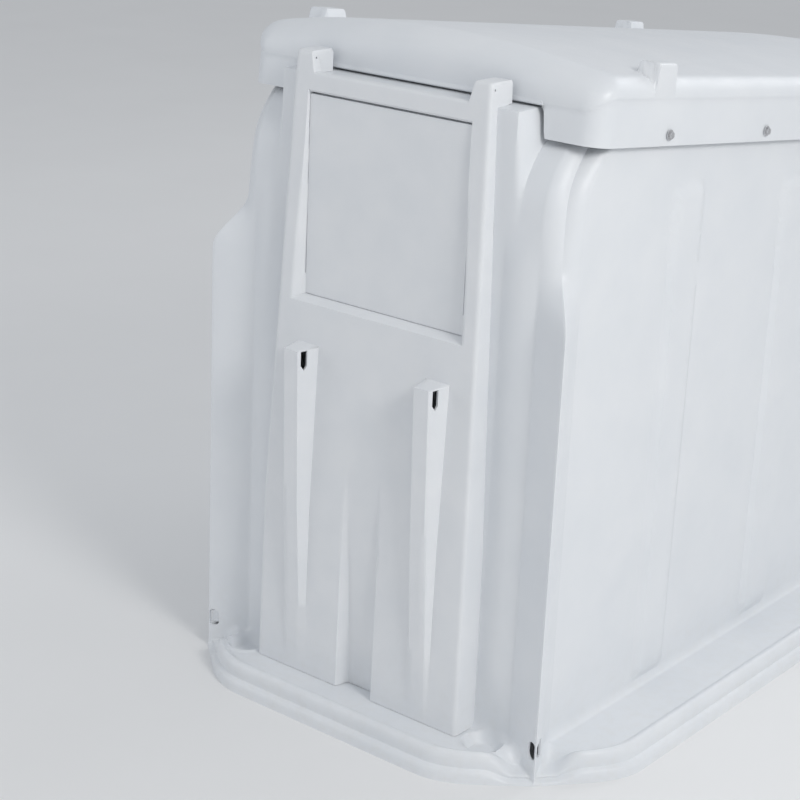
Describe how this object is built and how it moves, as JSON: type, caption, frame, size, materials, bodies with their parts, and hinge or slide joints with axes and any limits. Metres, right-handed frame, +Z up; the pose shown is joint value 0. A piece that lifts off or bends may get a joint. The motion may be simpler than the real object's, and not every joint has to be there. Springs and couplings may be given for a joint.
{
  "type": "calf hutch",
  "caption": "Moulded shelter for one calf: body with base ledge, bolted roof cap, rear vent panel with a hinged flap, and a doorway with a latched tube gate.",
  "frame": {"origin": "middle of the footprint at ground level", "axes": "+Z up, -Y is the closed rear wall with the vent panel, +Y is the calf doorway, +X to the right when facing the rear wall"},
  "size_m": [1.204, 2.15, 1.4988],
  "materials": {
    "shell_plastic": "semi-gloss moulded white",
    "panel_plastic": "semi-gloss moulded white",
    "trim_rubber": "matt black",
    "galvanised_steel": "galvanised",
    "stainless": "satin",
    "brass_insert": "turned"
  },
  "bodies": {
    "hutch": {"body_shell": "shell_plastic", "roof_cap": "shell_plastic", "roof_bolts": "stainless", "roof_washers": "stainless", "roof_spacers": "stainless", "roof_nuts": "stainless", "vent_panel": "panel_plastic", "panel_bolts": "stainless", "panel_washers": "stainless", "panel_inserts": "brass_insert", "flap_hinge_rod": "stainless", "flap_rod_clips": "stainless", "doorway_trim": "trim_rubber", "upper_hinge_bracket": "galvanised_steel", "lower_hinge_bracket": "galvanised_steel", "upper_hinge_pin": "stainless", "lower_hinge_pin": "stainless", "latch_keeper": "galvanised_steel", "gate_bolts": "stainless", "gate_washers": "stainless", "gate_nuts": "stainless"},
    "flap": {"vent_flap": "panel_plastic"},
    "gate": {"gate_frame": "galvanised_steel"},
    "latch": {"latch_bolt": "galvanised_steel"}
  },
  "joints": [
    {"name": "flap_swing", "type": "hinge", "parent": "hutch", "child": "flap", "pos_m": [0, -0.917, 1.34], "axis": [-1, 0, 0], "range_deg": [0, 75]},
    {"name": "gate_swing", "type": "hinge", "parent": "hutch", "child": "gate", "pos_m": [-0.356, 0.959, 0.5], "axis": [0, 0, 1], "range_deg": [0, 110]},
    {"name": "latch_slide", "type": "slide", "parent": "gate", "child": "latch", "axis": [1, 0, 0], "range_m": [0, 0.05]}
  ]
}
